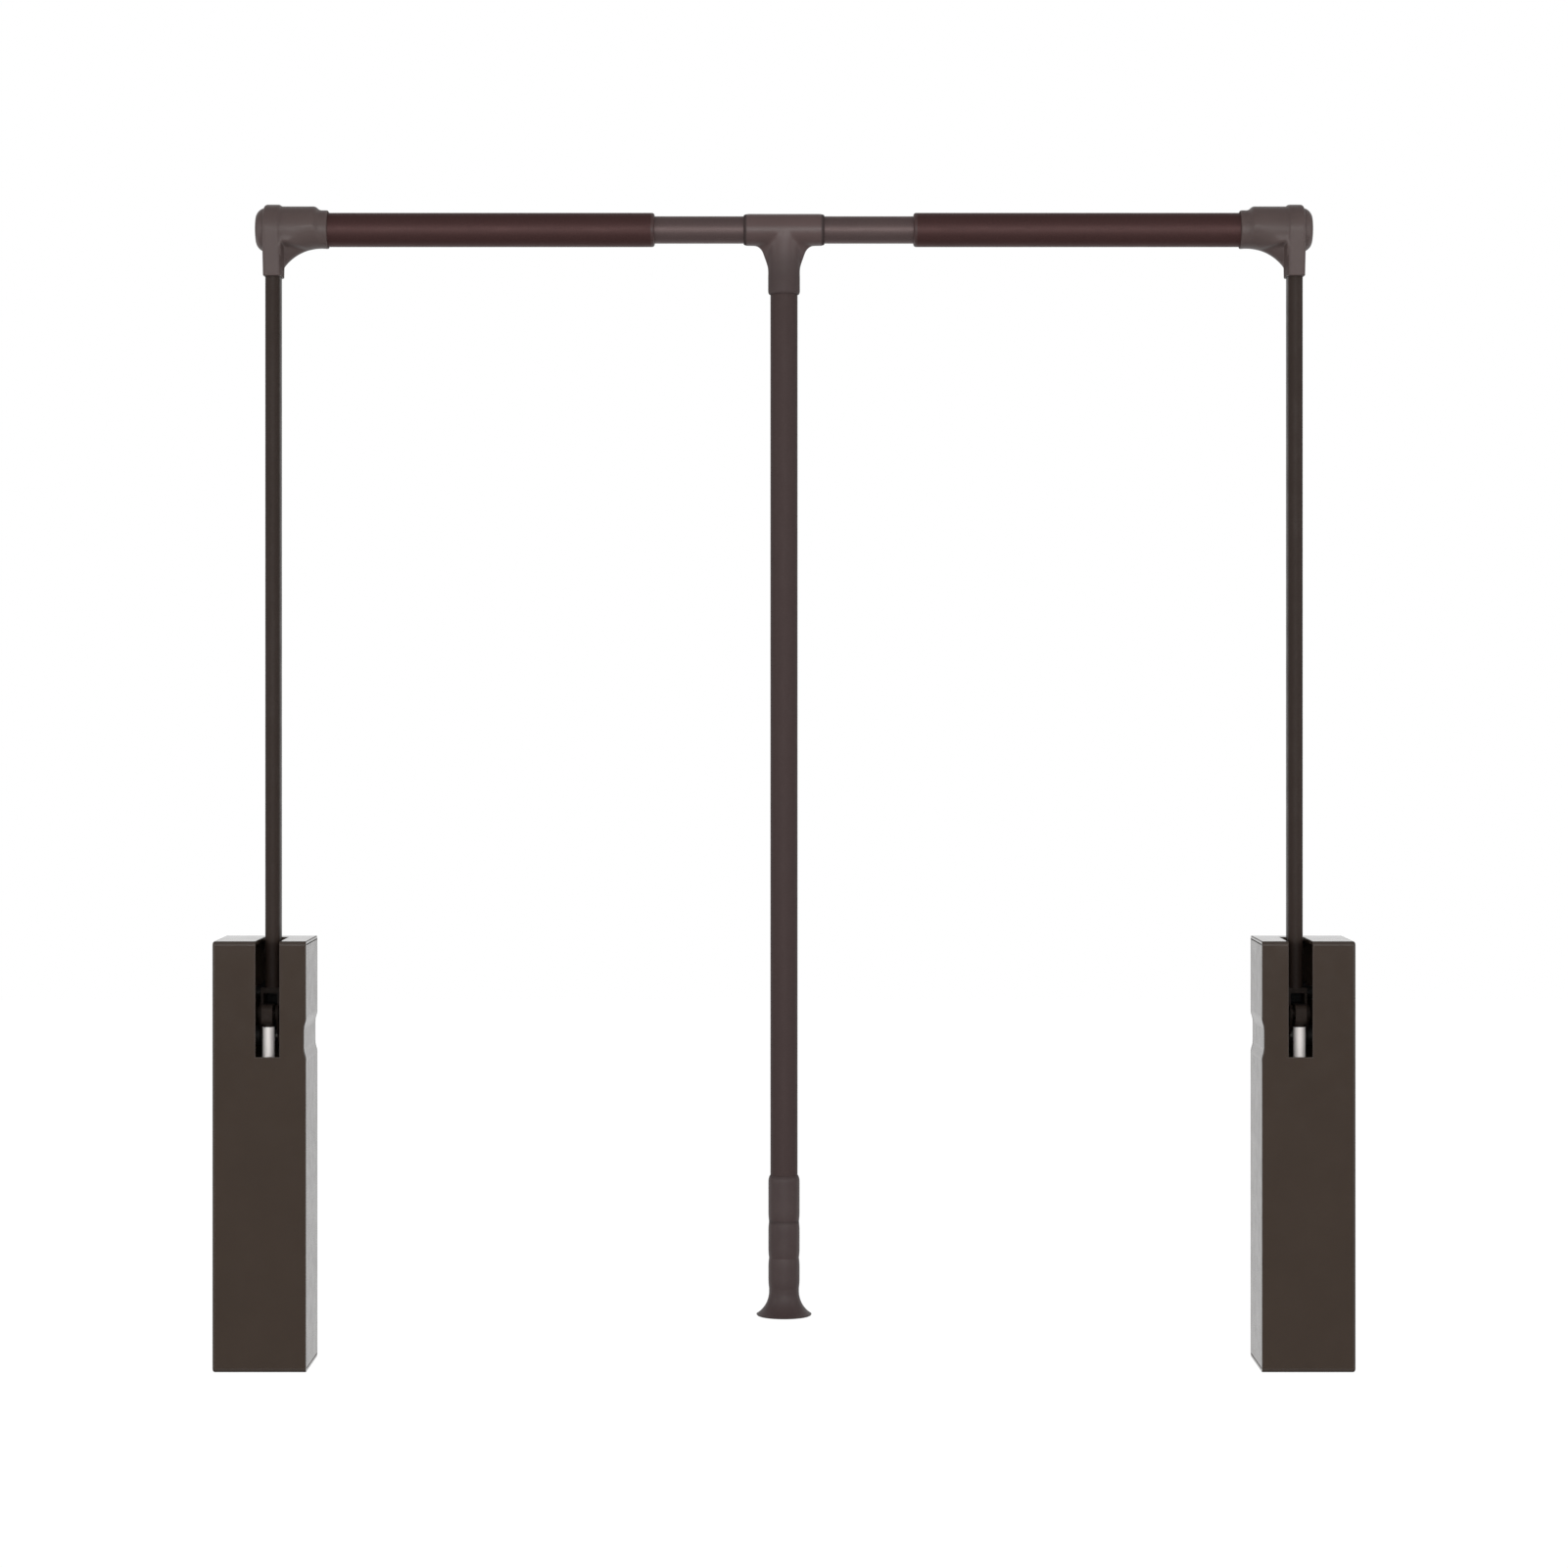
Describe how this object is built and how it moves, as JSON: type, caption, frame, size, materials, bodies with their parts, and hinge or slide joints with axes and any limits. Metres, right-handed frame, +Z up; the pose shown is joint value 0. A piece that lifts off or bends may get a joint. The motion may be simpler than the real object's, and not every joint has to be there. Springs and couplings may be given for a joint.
{
  "type": "pull-down clothes rail",
  "caption": "Wardrobe lift: sprung housings on facing walls carry swinging arms, a telescopic hanging rail and a pull rod with a flared grip.",
  "frame": {"origin": "midway between the two housings, level with their undersides, straight below the pivots", "axes": "+Z up along the raised arms, +X across from the left wall to the right wall, -Y to the front, where the rail swings down"},
  "size_m": [0.83, 0.07, 0.852],
  "materials": {
    "housing_plastic": "satin brown moulding",
    "cover_plastic": "smooth brown moulding",
    "plate_steel": "black coated steel",
    "pin_steel": "bright turned steel",
    "screw_steel": "blackened steel",
    "bush_nylon": "black nylon",
    "buffer_rubber": "black rubber",
    "fork_metal": "dark cast metal",
    "arm_paint": "brown powder coat",
    "strut_black": "black paint",
    "rod_chrome": "hard chrome",
    "elbow_plastic": "satin brown moulding",
    "outer_tube_paint": "brown metallic coat",
    "mouth_plastic": "satin brown moulding",
    "inner_tube_paint": "brown metallic coat",
    "tee_plastic": "satin brown moulding",
    "pull_tube_paint": "brown metallic coat",
    "handle_plastic": "satin brown moulding"
  },
  "bodies": {
    "left_housing": {"left_mounting_plate": "plate_steel", "left_inner_plate": "plate_steel", "left_housing_shell": "housing_plastic", "left_side_cover": "cover_plastic", "left_spacers": "plate_steel", "left_stop_buffer": "buffer_rubber", "left_shell_screws": "screw_steel", "left_pivot_axle": "pin_steel", "left_strut_foot_pin": "pin_steel", "left_pin_clips": "pin_steel", "left_pin_sleeves": "bush_nylon", "left_strut_cylinder": "strut_black", "left_strut_gland": "strut_black"},
    "left_arm": {"left_arm_fork": "fork_metal", "left_pivot_bushes": "bush_nylon", "left_crank_pin": "pin_steel", "left_arm_rivets": "fork_metal", "left_arm_tube": "arm_paint", "left_elbow": "elbow_plastic", "left_elbow_cap": "elbow_plastic", "left_elbow_screws": "screw_steel", "left_outer_tube": "outer_tube_paint", "left_mouth_bush": "mouth_plastic"},
    "left_strut": {"left_strut_rod": "rod_chrome", "left_strut_piston": "bush_nylon", "left_strut_yoke": "fork_metal"},
    "right_housing": {"right_mounting_plate": "plate_steel", "right_inner_plate": "plate_steel", "right_housing_shell": "housing_plastic", "right_side_cover": "cover_plastic", "right_spacers": "plate_steel", "right_stop_buffer": "buffer_rubber", "right_shell_screws": "screw_steel", "right_pivot_axle": "pin_steel", "right_strut_foot_pin": "pin_steel", "right_pin_clips": "pin_steel", "right_pin_sleeves": "bush_nylon", "right_strut_cylinder": "strut_black", "right_strut_gland": "strut_black"},
    "right_arm": {"right_arm_fork": "fork_metal", "right_pivot_bushes": "bush_nylon", "right_crank_pin": "pin_steel", "right_arm_rivets": "fork_metal", "right_arm_tube": "arm_paint", "right_elbow": "elbow_plastic", "right_elbow_cap": "elbow_plastic", "right_elbow_screws": "screw_steel", "right_outer_tube": "outer_tube_paint", "right_mouth_bush": "mouth_plastic"},
    "right_strut": {"right_strut_rod": "rod_chrome", "right_strut_piston": "bush_nylon", "right_strut_yoke": "fork_metal"},
    "rail_bushes": {"rail_end_bushes": "bush_nylon"},
    "pull_assembly": {"inner_rail": "inner_tube_paint", "tee_fitting": "tee_plastic", "pull_tube": "pull_tube_paint", "pull_screws": "screw_steel", "handle_collar": "handle_plastic", "handle_grip": "handle_plastic"}
  },
  "joints": [
    {"name": "left_swing", "type": "hinge", "parent": "left_housing", "child": "left_arm", "pos_m": [-0.375, 0, 0.242], "axis": [1, 0, 0], "range_deg": [0, 90], "stiffness_Nm_per_rad": 9, "springref_deg": -20.05},
    {"name": "width_adjust", "type": "slide", "parent": "left_housing", "child": "right_housing", "axis": [1, 0, 0], "range_m": [0, 0.32]},
    {"name": "right_swing", "type": "hinge", "parent": "right_housing", "child": "right_arm", "pos_m": [0.375, 0, 0.242], "axis": [1, 0, 0], "range_deg": [0, 90]},
    {"name": "left_strut_slide", "type": "slide", "parent": "left_housing", "child": "left_strut", "axis": [0, 0, -1], "range_m": [0, 0.034]},
    {"name": "right_strut_slide", "type": "slide", "parent": "right_housing", "child": "right_strut", "axis": [0, 0, -1], "range_m": [0, 0.034]},
    {"name": "rail_slide", "type": "slide", "parent": "left_arm", "child": "rail_bushes", "axis": [1, 0, 0], "range_m": [0, 0.16]},
    {"name": "rod_swivel", "type": "hinge", "parent": "rail_bushes", "child": "pull_assembly", "pos_m": [0, 0, 0.8335], "axis": [1, 0, 0], "continuous": true}
  ],
  "couplings": [
    {"joint": "right_swing", "follows": "left_swing", "ratio": 1},
    {"joint": "left_strut_slide", "follows": "left_swing", "m_per_rad": 0.021604},
    {"joint": "right_strut_slide", "follows": "left_swing", "m_per_rad": 0.021604},
    {"joint": "rail_slide", "follows": "width_adjust", "ratio": 0.5}
  ]
}
